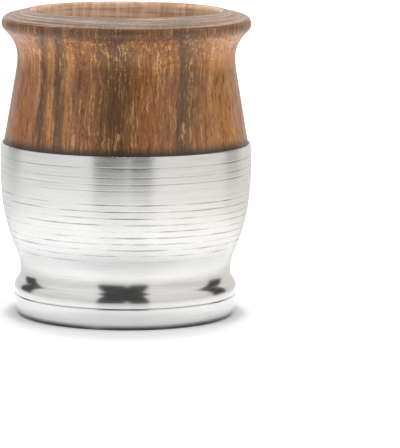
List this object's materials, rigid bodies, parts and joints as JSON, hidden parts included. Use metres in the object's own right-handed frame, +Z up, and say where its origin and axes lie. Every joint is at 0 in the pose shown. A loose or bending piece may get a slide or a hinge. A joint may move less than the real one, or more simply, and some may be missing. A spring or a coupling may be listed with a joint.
{
  "type": "mate cup",
  "caption": "Empty mate drinking cup: turned wooden body with a rounded flared rim, its lower half in a spun aluminium sleeve with a drawn-in foot.",
  "frame": {"origin": "centre of the foot on the surface the cup stands on", "axes": "+Z up the cup's turning axis; the cup is the same all round"},
  "size_m": [0.0824, 0.0824, 0.1001],
  "materials": {
    "wood": "oiled satin",
    "aluminium": "lathe-brushed"
  },
  "bodies": {
    "root": {"wood_body": "wood", "aluminium_sleeve": "aluminium"}
  },
  "joints": []
}
